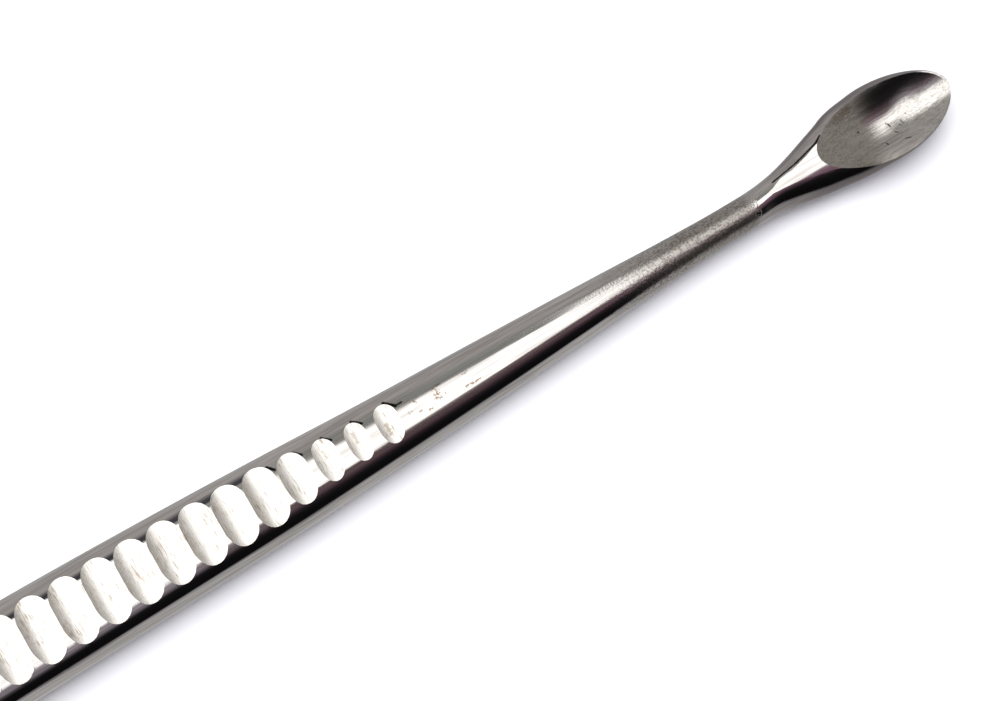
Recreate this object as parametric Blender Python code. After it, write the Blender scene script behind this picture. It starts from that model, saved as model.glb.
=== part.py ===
"""Bone curette: a one-piece stainless steel instrument with a sharp oval spoon.

The instrument is one forging. It lies along X with the spoon at +X and opening
upwards, and rests on a flat ground along the underside of its handle. The body is
a loft of computed cross-sections from the butt, through the tapered grip and the
round neck, to the spoon. Thumb scallops, ground across the top of the grip, and the
hollow of the spoon are Boolean cuts with turned shapes. Lengths are in metres.
"""

import math
from dataclasses import dataclass

import bmesh
import bpy
from mathutils import Matrix, Vector

# Overall size
OVERALL_LENGTH = 0.170
AXIS_HEIGHT = 0.00236        # forging axis above the surface it rests on

# Handle
HANDLE_WIDTH = 0.00900
HANDLE_THICKNESS = 0.00512
HANDLE_SQUARENESS = 2.6      # superellipse exponent of the grip; 2 is a plain oval
CREST_SET = 0.00022          # the crest of the grip stands slightly towards +Y
GRIP_FULL_FROM_BUTT = 0.020  # where the handle reaches its full width
BUTT_ROUNDING = 0.0065

# Flat ground along the underside of the handle
FLAT_WIDTH = 0.0046
FLAT_FRONT_FROM_TIP = 0.0900
FLAT_BACK_FROM_BUTT = 0.0090
FLAT_RELIEF = 0.00008        # the underside beyond the flat stays this far above it

# Neck
NECK_DIAMETER = 0.00296
NECK_END_FROM_TIP = 0.0240   # the handle's taper runs out here
AXIS_BOW = 0.00019           # the handle bends this far towards -Y in front of the grip
BOW_FROM_TIP = 0.058
BOW_REACH = 0.032            # the bend has faded out this far before and after

# Spoon blank
SPOON_WIDTH = 0.00711
SPOON_DEPTH = 0.00290        # from the rim to the lowest point of the belly
SPOON_HALF_LENGTH = 0.00705  # from the tip to the widest place
FLARE_FROM_TIP = 0.0220      # where the neck starts to flare into the spoon
RIM_HEIGHT = 0.00136         # rim plane above the forging axis
HEAD_SET = 0.00084           # sideways set of the spoon, towards +Y
FACE_ROLL = math.radians(4.5)  # the face behind the hollow is ground turned towards -Y
FACE_CROWN = 0.065           # crown of the ground face, as a share of its half-width
FACE_SKEW = 0.00066          # the rim stands this far towards -Y over the middle level

# Hollow of the spoon, a paraboloid
HOLLOW_LENGTH = 0.01375
HOLLOW_WIDTH = 0.00660
HOLLOW_DEPTH = 0.00160
HOLLOW_TIP_LAND = 0.00016    # thickness of the cutting edge at the tip
HOLLOW_SIDE_SHIFT = 0.00034  # the hollow is ground slightly towards -Y
HOLLOW_OVERRUN = 1.3         # the grinding form is this much larger than the mouth

# Thumb scallops
SCALLOP_PITCH = 0.00288
SCALLOP_RADIUS = 0.00275
SCALLOP_DEPTH = 0.00043
SCALLOP_FIRST_FROM_TIP = 0.0583
SCALLOP_BUTT_MARGIN = 0.0340  # plain length left at the butt
SCALLOP_LEAN = math.radians(0.7)  # the grinding leans towards +Y
SCALLOP_SKEW = math.radians(2.4)  # and runs slightly aslant over the grip
SCALLOP_RUN_IN = (0.44, 0.38, 0.46, 0.72)  # shares of the depth, first scallops

# Fineness of the facets
SIDE_STEPS = 9
TOP_STEPS = 10
NOSE_DEGREES = 6
BUTT_DEGREES = 12
FLARE_STEPS = 20
TAPER_STEPS = 20
FLAT_STEPS = 16
HOLLOW_SEGMENTS = 52
HOLLOW_RINGS = 14
SCALLOP_SEGMENTS = 64

# Shape curves: pairs of the share of the way along and the share of the change.
TAPER_CURVE = ((0, 0), (0.04, 0.045), (0.095, 0.160), (0.18, 0.330), (0.285, 0.515),
               (0.36, 0.653), (0.435, 0.747), (0.53, 0.830), (0.72, 0.934), (1, 1))
FLARE_CURVE = ((0, 0), (0.10, 0.012), (0.205, 0.062), (0.308, 0.179), (0.41, 0.338),
               (0.516, 0.516), (0.62, 0.678), (0.723, 0.856), (0.83, 0.948), (1, 1))
BELLY_CURVE = ((0, 0), (0.18, 0.10), (0.38, 0.45), (0.60, 0.85), (0.80, 1), (1, 1))
SET_CURVE = ((0, 0), (0.205, 0.066), (0.41, 0.22), (0.62, 0.51), (0.723, 0.70),
             (0.83, 0.82), (1, 1))
# Height of the ground face over the widest level, as a share of the half-thickness.
FACE_LEVEL_CURVE = ((0, 1), (0.10, 0.985), (0.205, 0.96), (0.32, 0.94), (0.49, 0.90),
                    (0.60, 0.85), (0.67, 0.78), (0.76, 0.65), (0.87, 0.52), (1, 0.44))
FACE_DROP_SHARE = 0.57       # share of the flare over which the top falls to the rim
ROLL_CURVE = ((0, 0), (0.20, 1), (0.62, 1), (0.92, 0), (1, 0))
SKEW_CURVE = ((0, 0), (0.25, 0.55), (0.50, 0.52), (0.67, 0.12), (0.80, -0.45), (1, -1))
PLAIN_TOP_SHARE = 0.45       # share of the half-width that the top strip covers


def clear_scene():
    """Remove every object that is already in the scene."""
    for obj in list(bpy.data.objects):
        bpy.data.objects.remove(obj, do_unlink=True)


def curve_value(curve, x):
    """Value at x of a smooth monotone curve through the curve's pairs."""
    xs = [p[0] for p in curve]
    ys = [p[1] for p in curve]
    if x <= xs[0]:
        return ys[0]
    if x >= xs[-1]:
        return ys[-1]
    slopes = [(ys[i + 1] - ys[i]) / (xs[i + 1] - xs[i]) for i in range(len(xs) - 1)]
    tangents = [0.0]
    for before, after in zip(slopes, slopes[1:]):
        tangents.append(2 * before * after / (before + after) if before * after > 0 else 0.0)
    tangents.append(0.0)
    i = max(k for k in range(len(xs) - 1) if x >= xs[k])
    width = xs[i + 1] - xs[i]
    u = (x - xs[i]) / width
    return ((2 * u**3 - 3 * u**2 + 1) * ys[i] + (u**3 - 2 * u**2 + u) * width * tangents[i]
            + (3 * u**2 - 2 * u**3) * ys[i + 1] + (u**3 - u**2) * width * tangents[i + 1])


def smooth_step(x):
    """Ease from 0 to 1 as x goes from 0 to 1."""
    x = min(max(x, 0.0), 1.0)
    return x * x * (3 - 2 * x)


def quarter_ellipse(x):
    """Height of a quarter ellipse at x, from 0 at x = 0 to 1 at x = 1."""
    x = min(max(x, 0.0), 1.0)
    return math.sqrt(max(1 - (1 - x) ** 2, 0.0))


def flare_share(from_tip):
    """Share of the way from the neck (0) to the widest place of the spoon (1)."""
    return min(max((FLARE_FROM_TIP - from_tip) / (FLARE_FROM_TIP - SPOON_HALF_LENGTH), 0.0), 1.0)


def head_offset(from_tip):
    """Sideways set of the section centre at a distance from the tip."""
    return HEAD_SET * curve_value(SET_CURVE, flare_share(from_tip))


def axis_bow(from_tip):
    """Sideways bend of the handle in front of the grip, towards -Y."""
    away = min(abs(from_tip - BOW_FROM_TIP) / BOW_REACH, 1.0)
    return -AXIS_BOW * math.cos(math.pi / 2 * away) ** 2


def face_roll(from_tip):
    """Roll of the section about the forging axis at a distance from the tip."""
    return FACE_ROLL * curve_value(ROLL_CURVE, flare_share(from_tip))


def handle_size(from_tip):
    """Half-width and half-thickness of the handle before the spoon is formed."""
    full_from_tip = OVERALL_LENGTH - GRIP_FULL_FROM_BUTT
    along = (from_tip - NECK_END_FROM_TIP) / (full_from_tip - NECK_END_FROM_TIP)
    share = curve_value(TAPER_CURVE, along)
    neck = NECK_DIAMETER / 2
    return (neck + (HANDLE_WIDTH / 2 - neck) * share,
            neck + (HANDLE_THICKNESS / 2 - neck) * share)


@dataclass(frozen=True)
class Section:
    """One cross-section, in metres from the forging axis."""

    centre: float       # height of the widest level
    half_width: float
    upper: float        # half-thickness above the widest level
    lower: float        # half-thickness below it
    exponent: float     # of the superellipse
    face: float         # height of the ground face
    crown: float        # crown of the face, as a share of its half-width
    crest: float        # sideways set of the top
    flat: float         # half-width of the flat underneath, or 0


def underside(from_tip, half_width, thickness, exponent):
    """Half-thickness below the axis and half-width of the flat ground into it."""
    if FLAT_FRONT_FROM_TIP <= from_tip <= OVERALL_LENGTH - FLAT_BACK_FROM_BUTT:
        half_flat = FLAT_WIDTH / 2
        inside = 1 - (half_flat / half_width) ** exponent
        return AXIS_HEIGHT / inside ** (1 / exponent), half_flat
    return min(thickness, AXIS_HEIGHT - FLAT_RELIEF), 0.0


def handle_section(from_tip):
    """Section of the handle and the neck, rounded off at the butt."""
    half_width, thickness = handle_size(from_tip)
    neck = NECK_DIAMETER / 2
    squared = smooth_step((thickness - neck) / (HANDLE_THICKNESS / 2 - neck) / 0.45)
    exponent = 2 + (HANDLE_SQUARENESS - 2) * squared
    lower, half_flat = underside(from_tip, half_width, thickness, exponent)
    butt = quarter_ellipse((OVERALL_LENGTH - from_tip) / BUTT_ROUNDING)
    return Section(0.0, half_width * butt, thickness * butt, lower * butt, exponent,
                   thickness * butt, 0.0, CREST_SET * squared * butt, half_flat)


def spoon_section(from_tip):
    """Section of the flare and the spoon blank, with its face ground flat."""
    share = flare_share(from_tip)
    neck = NECK_DIAMETER / 2
    nose = quarter_ellipse(from_tip / SPOON_HALF_LENGTH)
    half_width = (neck + (SPOON_WIDTH / 2 - neck) * curve_value(FLARE_CURVE, share)) * nose
    level = curve_value(FACE_LEVEL_CURVE, share)
    face = RIM_HEIGHT + (neck - RIM_HEIGHT) * (1 - smooth_step(share / FACE_DROP_SHARE))
    belly = neck + (SPOON_DEPTH - RIM_HEIGHT - neck) * curve_value(BELLY_CURVE, share)
    thickness = (face + belly) * nose / (1 + level)
    crown = FACE_CROWN * (1 - smooth_step((share - 0.55) / 0.2))
    skew = FACE_SKEW * curve_value(SKEW_CURVE, share) * nose**2
    return Section(face - level * thickness, half_width, thickness, thickness, 2.0,
                   face, crown, skew, 0.0)


def arc_height(y, section, thickness):
    """Height of the superellipse over or under its centre at y from the middle."""
    inside = 1 - min(abs(y) / section.half_width, 1.0) ** section.exponent
    return thickness * max(inside, 0.0) ** (1 / section.exponent)


def face_half_width(section):
    """Half-width of the face where its plane leaves the blank's top."""
    reach = min((section.face - section.centre) / section.upper, 1.0)
    inside = 1 - reach ** section.exponent
    return section.half_width * max(inside, 0.0) ** (1 / section.exponent)


def side_points(section, top_edge, bottom_edge):
    """Points down the +Y side, from the edge of the face to the edge underneath."""
    power = 2 / section.exponent
    start = math.acos(min(top_edge / section.half_width, 1.0) ** (1 / power))
    end = -math.acos(min(bottom_edge / section.half_width, 1.0) ** (1 / power))
    points = []
    for i in range(SIDE_STEPS + 1):
        a = start + (end - start) * i / SIDE_STEPS
        thickness = section.upper if a > 0 else section.lower
        points.append((section.half_width * math.cos(a) ** power,
                       section.centre + thickness * math.copysign(abs(math.sin(a)) ** power, a)))
    return points


def section_points(from_tip):
    """Ring of points round a section, over the top from -Y to +Y and back underneath."""
    section = (spoon_section if flare_share(from_tip) > 0 else handle_section)(from_tip)
    plain = PLAIN_TOP_SHARE * section.half_width
    top_edge = max(plain, face_half_width(section))
    bottom_edge = section.flat or plain
    side = side_points(section, top_edge, bottom_edge)
    top, bottom = [], []
    for i in range(1, TOP_STEPS):
        y = top_edge * (2 * i / TOP_STEPS - 1)
        arc = section.centre + arc_height(y, section, section.upper)
        crowned = section.face + section.crown * top_edge * (1 - (y / top_edge) ** 2)
        top.append((y, min(arc, crowned)))
        y = bottom_edge * (1 - 2 * i / TOP_STEPS)
        under = section.centre - arc_height(y, section, section.lower)
        bottom.append((y, -AXIS_HEIGHT if section.flat else under))
    if section.flat:
        side[-1] = (section.flat, -AXIS_HEIGHT)
    ring = top + side + bottom + [(-y, z) for y, z in reversed(side)]
    return [(y + section.crest * max(z, 0.0) / section.upper, z) for y, z in ring]


def stations():
    """Distances from the tip at which the body has a section, closest on the curves."""
    def even(start, end, steps):
        return [start + (end - start) * i / steps for i in range(steps)]
    butt = OVERALL_LENGTH - BUTT_ROUNDING
    flat_back = OVERALL_LENGTH - FLAT_BACK_FROM_BUTT
    nose = [SPOON_HALF_LENGTH * (1 - math.cos(math.radians(a)))
            for a in range(4, 90, NOSE_DEGREES)]
    rounding = [butt + BUTT_ROUNDING * math.sin(math.radians(a))
                for a in range(0, 88, BUTT_DEGREES)]
    return (nose + even(SPOON_HALF_LENGTH, FLARE_FROM_TIP, FLARE_STEPS)
            + even(FLARE_FROM_TIP, FLAT_FRONT_FROM_TIP, TAPER_STEPS)
            + even(FLAT_FRONT_FROM_TIP, flat_back, FLAT_STEPS)
            + [flat_back] + rounding)


def body_point(from_tip, y, z):
    """World position of a section's point, after the roll, the set and the bow."""
    roll = face_roll(from_tip)
    aside = head_offset(from_tip) + axis_bow(from_tip)
    return Vector((OVERALL_LENGTH / 2 - from_tip,
                   aside + y * math.cos(roll) - z * math.sin(roll),
                   AXIS_HEIGHT + y * math.sin(roll) + z * math.cos(roll)))


def build_body(name, collection, material):
    """Loft the forging through its sections and close it at the tip and the butt."""
    mesh = bpy.data.meshes.new(name)
    bm = bmesh.new()
    rings = [[bm.verts.new(body_point(t, y, z)) for y, z in section_points(t)]
             for t in stations()]
    for ring, following in zip(rings, rings[1:]):
        count = len(ring)
        for i in range(count):
            j = (i + 1) % count
            bm.faces.new((ring[i], following[i], following[j], ring[j]))
    tip = bm.verts.new(body_point(0.0, 0.0, RIM_HEIGHT))
    butt = bm.verts.new((-OVERALL_LENGTH / 2, 0.0, AXIS_HEIGHT))
    for apex, ring in ((tip, rings[0]), (butt, rings[-1])):
        for i in range(len(ring)):
            bm.faces.new((apex, ring[i], ring[(i + 1) % len(ring)]))
    bmesh.ops.recalc_face_normals(bm, faces=bm.faces)
    bm.to_mesh(mesh)
    bm.free()
    mesh.materials.append(material)
    body = bpy.data.objects.new(name, mesh)
    collection.objects.link(body)
    return body


def add_cutter(name, bm, collection):
    """Turn a closed bmesh into a cutter that is neither rendered nor exported."""
    bmesh.ops.recalc_face_normals(bm, faces=bm.faces)
    mesh = bpy.data.meshes.new(name)
    bm.to_mesh(mesh)
    bm.free()
    cutter = bpy.data.objects.new(name, mesh)
    cutter.hide_render = True
    cutter.display_type = "WIRE"
    collection.objects.link(cutter)
    return cutter


def scallop_places():
    """Distances from the tip of the scallops, as many as the grip has room for."""
    room = OVERALL_LENGTH - SCALLOP_BUTT_MARGIN - SCALLOP_FIRST_FROM_TIP
    return [SCALLOP_FIRST_FROM_TIP + i * SCALLOP_PITCH
            for i in range(int(room / SCALLOP_PITCH) + 1)]


def scallop_cutter(name, first, collection):
    """Every second grinding roller across the grip, starting at the given scallop."""
    bm = bmesh.new()
    roller_length = 1.6 * HANDLE_WIDTH
    for i, from_tip in list(enumerate(scallop_places()))[first::2]:
        share = SCALLOP_RUN_IN[i] if i < len(SCALLOP_RUN_IN) else 1.0
        top = handle_size(from_tip)[1]
        centre = AXIS_HEIGHT + top - SCALLOP_DEPTH * share + SCALLOP_RADIUS
        place = (Matrix.Translation((OVERALL_LENGTH / 2 - from_tip, 0.0, centre))
                 @ Matrix.Rotation(-SCALLOP_SKEW, 4, "Z")
                 @ Matrix.Rotation(math.pi / 2 - SCALLOP_LEAN, 4, "X")
                 @ Matrix.Rotation(math.pi / SCALLOP_SEGMENTS, 4, "Z"))
        bmesh.ops.create_cone(bm, cap_ends=True, segments=SCALLOP_SEGMENTS,
                              radius1=SCALLOP_RADIUS, radius2=SCALLOP_RADIUS,
                              depth=roller_length, matrix=place)
    return add_cutter(name, bm, collection)


def hollow_cutter(name, collection):
    """Turned grinding form of the hollow, a paraboloid drawn out along the spoon."""
    bm = bmesh.new()
    reach = [HOLLOW_OVERRUN * i / HOLLOW_RINGS for i in range(HOLLOW_RINGS + 1)]
    profile = [bm.verts.new((r, 0.0, r**2)) for r in reach]
    profile.append(bm.verts.new((0.0, 0.0, HOLLOW_OVERRUN**2)))
    edges = [bm.edges.new(pair) for pair in zip(profile, profile[1:])]
    bmesh.ops.spin(bm, geom=profile + edges, angle=2 * math.pi, steps=HOLLOW_SEGMENTS,
                   axis=(0, 0, 1), cent=(0, 0, 0))
    bmesh.ops.remove_doubles(bm, verts=bm.verts, dist=1e-4)
    size = Matrix.Diagonal((HOLLOW_LENGTH / 2, HOLLOW_WIDTH / 2, HOLLOW_DEPTH, 1.0))
    place = Matrix.Translation((OVERALL_LENGTH / 2 - HOLLOW_TIP_LAND - HOLLOW_LENGTH / 2,
                                HEAD_SET - HOLLOW_SIDE_SHIFT,
                                AXIS_HEIGHT + RIM_HEIGHT - HOLLOW_DEPTH))
    bmesh.ops.transform(bm, matrix=place @ size, verts=bm.verts)
    return add_cutter(name, bm, collection)


def cut(body, cutter):
    """Subtract a cutter from the body with an exact Boolean."""
    modifier = body.modifiers.new(cutter.name, "BOOLEAN")
    modifier.operation = "DIFFERENCE"
    modifier.solver = "EXACT"
    modifier.object = cutter


def steel_material():
    """Polished stainless steel."""
    material = bpy.data.materials.new("stainless_steel")
    material.use_nodes = True
    shader = material.node_tree.nodes["Principled BSDF"]
    shader.inputs["Base Color"].default_value = (0.52, 0.50, 0.48, 1.0)
    shader.inputs["Metallic"].default_value = 1.0
    shader.inputs["Roughness"].default_value = 0.22
    return material


def new_collection(name):
    """Collection of that name, linked to the scene."""
    collection = bpy.data.collections.new(name)
    bpy.context.scene.collection.children.link(collection)
    return collection


def main():
    """Build the curette."""
    clear_scene()
    parts = new_collection("bone_curette")
    cutters = new_collection("grinding_forms")
    curette = build_body("curette", parts, steel_material())
    cut(curette, scallop_cutter("scallop_rollers_a", 0, cutters))
    cut(curette, scallop_cutter("scallop_rollers_b", 1, cutters))
    cut(curette, hollow_cutter("hollow_form", cutters))
    curette.data.shade_smooth()
    curette.data.set_sharp_from_angle(angle=math.radians(25))


main()
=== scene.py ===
"""Looks of the bone curette: its finely shaped steel body, table, surroundings and camera.

The instrument is one stainless steel forging. Its body is lofted here from the same
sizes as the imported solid, only finer, and stands for it. Three finishes dress it: the
buffed forging, the thumb scallops ground across the grip, and the brushed hollow of
the spoon. The object's own lengths are in metres, and patterns are in millimetres.
"""

from __future__ import annotations

import logging
import math
from collections.abc import Sequence
from dataclasses import dataclass, field
from enum import Enum
from typing import Any, NamedTuple

import bmesh
import bpy
from mathutils import Matrix, Vector

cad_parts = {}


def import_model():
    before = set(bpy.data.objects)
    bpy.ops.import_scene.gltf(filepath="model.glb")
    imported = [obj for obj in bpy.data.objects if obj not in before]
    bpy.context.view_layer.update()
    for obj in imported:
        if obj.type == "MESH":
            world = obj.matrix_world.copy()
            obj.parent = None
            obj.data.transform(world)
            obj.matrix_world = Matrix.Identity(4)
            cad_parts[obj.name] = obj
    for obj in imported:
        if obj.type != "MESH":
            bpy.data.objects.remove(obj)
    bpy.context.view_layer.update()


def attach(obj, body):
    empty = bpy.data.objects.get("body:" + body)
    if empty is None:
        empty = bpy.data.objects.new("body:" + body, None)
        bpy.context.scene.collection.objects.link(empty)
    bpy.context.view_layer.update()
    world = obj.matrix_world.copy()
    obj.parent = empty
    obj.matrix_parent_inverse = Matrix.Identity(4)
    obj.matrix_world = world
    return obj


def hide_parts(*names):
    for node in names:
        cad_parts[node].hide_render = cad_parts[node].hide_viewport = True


LOG = logging.getLogger("curette")

Curve = tuple[tuple[float, float], ...]
Colour = tuple[float, float, float, float]
Point = tuple[float, float, float]

NODE = "curette"
BODY = "root"
MM_PER_M = 1000.0
DEGREES_PER_RADIAN = 180 / math.pi

# Settings that several nodes share.
ADD = {"operation": "ADD"}
SUBTRACT = {"operation": "SUBTRACT"}
TIMES = {"operation": "MULTIPLY"}
TIMES_PLUS = {"operation": "MULTIPLY_ADD"}
LESSER = {"operation": "MINIMUM"}
GREATER = {"operation": "MAXIMUM"}
SCALE = {"operation": "SCALE"}
SMOOTH = {"interpolation_type": "SMOOTHSTEP"}
COLOURS = {"data_type": "RGBA"}


class Along(Enum):
    """Direction in which a grinding or buffing pattern runs on the steel."""

    LENGTH = 0
    WIDTH = 1


class Kind(Enum):
    """Kind of shader node, by Blender's name for it."""

    COORDINATES = "ShaderNodeTexCoord"
    PARTS = "ShaderNodeSeparateXYZ"
    MAPPING = "ShaderNodeMapping"
    NOISE = "ShaderNodeTexNoise"
    MATH = "ShaderNodeMath"
    VECTOR = "ShaderNodeVectorMath"
    CLAMP = "ShaderNodeClamp"
    RANGE = "ShaderNodeMapRange"
    RAMP = "ShaderNodeValToRGB"
    MIX = "ShaderNodeMix"
    RAY = "ShaderNodeLightPath"
    BUMP = "ShaderNodeBump"
    TANGENT = "ShaderNodeTangent"
    METAL = "ShaderNodeBsdfPrincipled"
    MATT = "ShaderNodeBsdfDiffuse"
    GLOW = "ShaderNodeEmission"
    SUM = "ShaderNodeAddShader"
    CHOICE = "ShaderNodeMixShader"
    SURFACE = "ShaderNodeOutputMaterial"
    BACKGROUND = "ShaderNodeBackground"
    WORLD = "ShaderNodeOutputWorld"


class Zone(Enum):
    """Zone of the instrument, each with a finish of its own."""

    BODY = 0
    SCALLOPS = 1
    HOLLOW = 2


def linear(hex_colour: str) -> Colour:
    """Turn an sRGB hex colour into linear light.

    Args:
        hex_colour: Colour such as "#c8c4bf".

    Returns:
        Linear red, green and blue, and an alpha of 1.
    """
    values = [int(hex_colour[i:i + 2], 16) / 255 for i in (1, 3, 5)]
    red, green, blue = (v / 12.92 if v <= 0.04045 else ((v + 0.055) / 1.055) ** 2.4
                        for v in values)
    return (red, green, blue, 1.0)


def smooth_step(x: float) -> float:
    """Ease from 0 to 1 as x goes from 0 to 1."""
    x = min(max(x, 0.0), 1.0)
    return x * x * (3 - 2 * x)


def quarter_ellipse(x: float) -> float:
    """Height of a quarter ellipse at x, from 0 at x = 0 to 1 at x = 1."""
    x = min(max(x, 0.0), 1.0)
    return math.sqrt(max(1 - (1 - x) ** 2, 0.0))


def curve_value(curve: Curve, x: float) -> float:
    """Value of a smooth monotone curve.

    Args:
        curve: Pairs of place and value, in order of place.
        x: Place at which the value is wanted.

    Returns:
        Value at x, held at the end values outside the curve.
    """
    xs = [p[0] for p in curve]
    ys = [p[1] for p in curve]
    if x <= xs[0]:
        return ys[0]
    if x >= xs[-1]:
        return ys[-1]
    slopes = [(ys[i + 1] - ys[i]) / (xs[i + 1] - xs[i]) for i in range(len(xs) - 1)]
    tangents = [0.0]
    for before, after in zip(slopes, slopes[1:]):
        tangents.append(2 * before * after / (before + after) if before * after > 0 else 0.0)
    tangents.append(0.0)
    i = max(k for k in range(len(xs) - 1) if x >= xs[k])
    width = xs[i + 1] - xs[i]
    u = (x - xs[i]) / width
    return ((2 * u**3 - 3 * u**2 + 1) * ys[i] + (u**3 - 2 * u**2 + u) * width * tangents[i]
            + (3 * u**2 - 2 * u**3) * ys[i + 1] + (u**3 - u**2) * width * tangents[i + 1])


class Ramp(NamedTuple):
    """Smooth change of one value along another, from low at start to high at end."""

    start: float
    end: float
    low: float = 0.0
    high: float = 1.0


class NodeTree:
    """Node tree of a material or of the world, with one way to add a node."""

    def __init__(self, owner: bpy.types.Material | bpy.types.World) -> None:
        """Empty the owner's node tree and keep it."""
        owner.use_nodes = True
        self.tree = owner.node_tree
        self.tree.nodes.clear()

    def add(self, kind: Kind, settings: dict[str, Any] | None = None,
            inputs: dict[int | str, Any] | tuple = (), output: int | str = 0,
            stops: Sequence[tuple[float, Colour]] = ()) -> bpy.types.NodeSocket | None:
        """Add a node with its settings and links.

        Args:
            kind: Kind of the node.
            settings: Properties to set on the node.
            inputs: Values, or the sockets that feed them, by socket or from the first on.
            output: Name or index of the output that is wanted.
            stops: Places and colours of a colour ramp, first to last.

        Returns:
            The wanted output socket, or None for a node without outputs.
        """
        node = self.tree.nodes.new(kind.value)
        for name, value in (settings or {}).items():
            setattr(node, name, value)
        pairs = inputs.items() if isinstance(inputs, dict) else enumerate(inputs)
        for key, value in pairs:
            if isinstance(value, bpy.types.NodeSocket):
                self.tree.links.new(value, node.inputs[key])
            else:
                node.inputs[key].default_value = value
        for i, (place, colour) in enumerate(stops):
            elements = node.color_ramp.elements
            element = elements[i] if i < 2 else elements.new(place)
            element.position = place
            element.color = colour
        return node.outputs[output] if len(node.outputs) else None


@dataclass
class Blank:
    """Sizes and sections of the forging before the scallops and the hollow are ground."""

    length: float = 0.170
    axis_height: float = 0.00236
    handle_width: float = 0.0090
    handle_thickness: float = 0.00512
    handle_squareness: float = 2.6
    squared_by_share: float = 0.45
    crest_set: float = 0.00022
    axis_bow: float = 0.00019
    bow_from_tip: float = 0.058
    bow_reach: float = 0.032
    grip_full_from_butt: float = 0.020
    butt_rounding: float = 0.0065
    flat_width: float = 0.0046
    flat_front_from_tip: float = 0.090
    flat_back_from_butt: float = 0.009
    flat_relief: float = 0.00008
    neck_diameter: float = 0.00296
    neck_end_from_tip: float = 0.024
    spoon_width: float = 0.00711
    spoon_depth: float = 0.0029
    spoon_half_length: float = 0.00705
    flare_from_tip: float = 0.022
    rim_height: float = 0.00136
    face_level_from: float = 0.57
    head_set: float = 0.00084
    face_roll: float = math.radians(4.5)
    face_crown: float = 0.065
    crown_fades_from: float = 0.55
    crown_fades_over: float = 0.2
    face_skew: float = 0.00066
    plain_top_share: float = 0.45
    taper: Curve = ((0, 0), (0.04, 0.045), (0.095, 0.160), (0.18, 0.330), (0.285, 0.515),
                    (0.36, 0.653), (0.435, 0.747), (0.53, 0.830), (0.72, 0.934), (1, 1))
    flare: Curve = ((0, 0), (0.10, 0.012), (0.205, 0.062), (0.308, 0.179), (0.41, 0.338),
                    (0.516, 0.516), (0.62, 0.678), (0.723, 0.856), (0.83, 0.948), (1, 1))
    belly: Curve = ((0, 0), (0.18, 0.10), (0.38, 0.45), (0.60, 0.85), (0.80, 1), (1, 1))
    set_along: Curve = ((0, 0), (0.205, 0.066), (0.41, 0.22), (0.62, 0.51), (0.723, 0.70),
                        (0.83, 0.82), (1, 1))
    face_level: Curve = ((0, 1), (0.10, 0.985), (0.205, 0.96), (0.32, 0.94), (0.49, 0.90),
                         (0.60, 0.85), (0.67, 0.78), (0.76, 0.65), (0.87, 0.52), (1, 0.44))
    roll_along: Curve = ((0, 0), (0.20, 1), (0.62, 1), (0.92, 0), (1, 0))
    skew_along: Curve = ((0, 0), (0.25, 0.55), (0.50, 0.52), (0.67, 0.12), (0.80, -0.45), (1, -1))
    side_steps: int = 24
    top_steps: int = 40
    bottom_steps: int = 20
    nose_steps: int = 44
    flare_steps: int = 130
    taper_steps: int = 230
    flat_steps: int = 220
    butt_steps: int = 24
    nose_start: float = math.radians(2)
    butt_end: float = math.radians(89)

    def flare_share(self, from_tip: float) -> float:
        """Share of the way from the neck (0) to the widest place of the spoon (1)."""
        along = self.flare_from_tip - from_tip
        return min(max(along / (self.flare_from_tip - self.spoon_half_length), 0.0), 1.0)

    def head_offset(self, from_tip: float) -> float:
        """Sideways set of the section's centre at a distance from the tip."""
        return self.head_set * curve_value(self.set_along, self.flare_share(from_tip))

    def bow(self, from_tip: float) -> float:
        """Sideways bend of the handle in front of the grip, towards -Y."""
        away = (from_tip - self.bow_from_tip) / self.bow_reach
        return -self.axis_bow * math.cos(math.pi / 2 * min(abs(away), 1.0)) ** 2

    def roll(self, from_tip: float) -> float:
        """Angle by which the ground face turns towards -Y at a distance from the tip."""
        return self.face_roll * curve_value(self.roll_along, self.flare_share(from_tip))

    def handle_size(self, from_tip: float) -> tuple[float, float]:
        """Half-width and half-thickness of the handle at a distance from the tip."""
        full_from_tip = self.length - self.grip_full_from_butt
        along = (from_tip - self.neck_end_from_tip) / (full_from_tip - self.neck_end_from_tip)
        share = curve_value(self.taper, along)
        neck = self.neck_diameter / 2
        return (neck + (self.handle_width / 2 - neck) * share,
                neck + (self.handle_thickness / 2 - neck) * share)

    def handle_section(self, from_tip: float) -> Section:
        """Section of the handle and the neck, rounded off at the butt."""
        half_width, thickness = self.handle_size(from_tip)
        neck = self.neck_diameter / 2
        grown = (thickness - neck) / (self.handle_thickness / 2 - neck)
        squared = smooth_step(grown / self.squared_by_share)
        exponent = 2 + (self.handle_squareness - 2) * squared
        lower, half_flat = min(thickness, self.axis_height - self.flat_relief), 0.0
        if self.flat_front_from_tip <= from_tip <= self.length - self.flat_back_from_butt:
            half_flat = self.flat_width / 2
            inside = 1 - (half_flat / half_width) ** exponent
            lower = self.axis_height / inside ** (1 / exponent)
        butt = quarter_ellipse((self.length - from_tip) / self.butt_rounding)
        return Section(0.0, half_width * butt, thickness * butt, lower * butt, exponent,
                       thickness * butt, 0.0, self.crest_set * squared * butt, half_flat)

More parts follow.
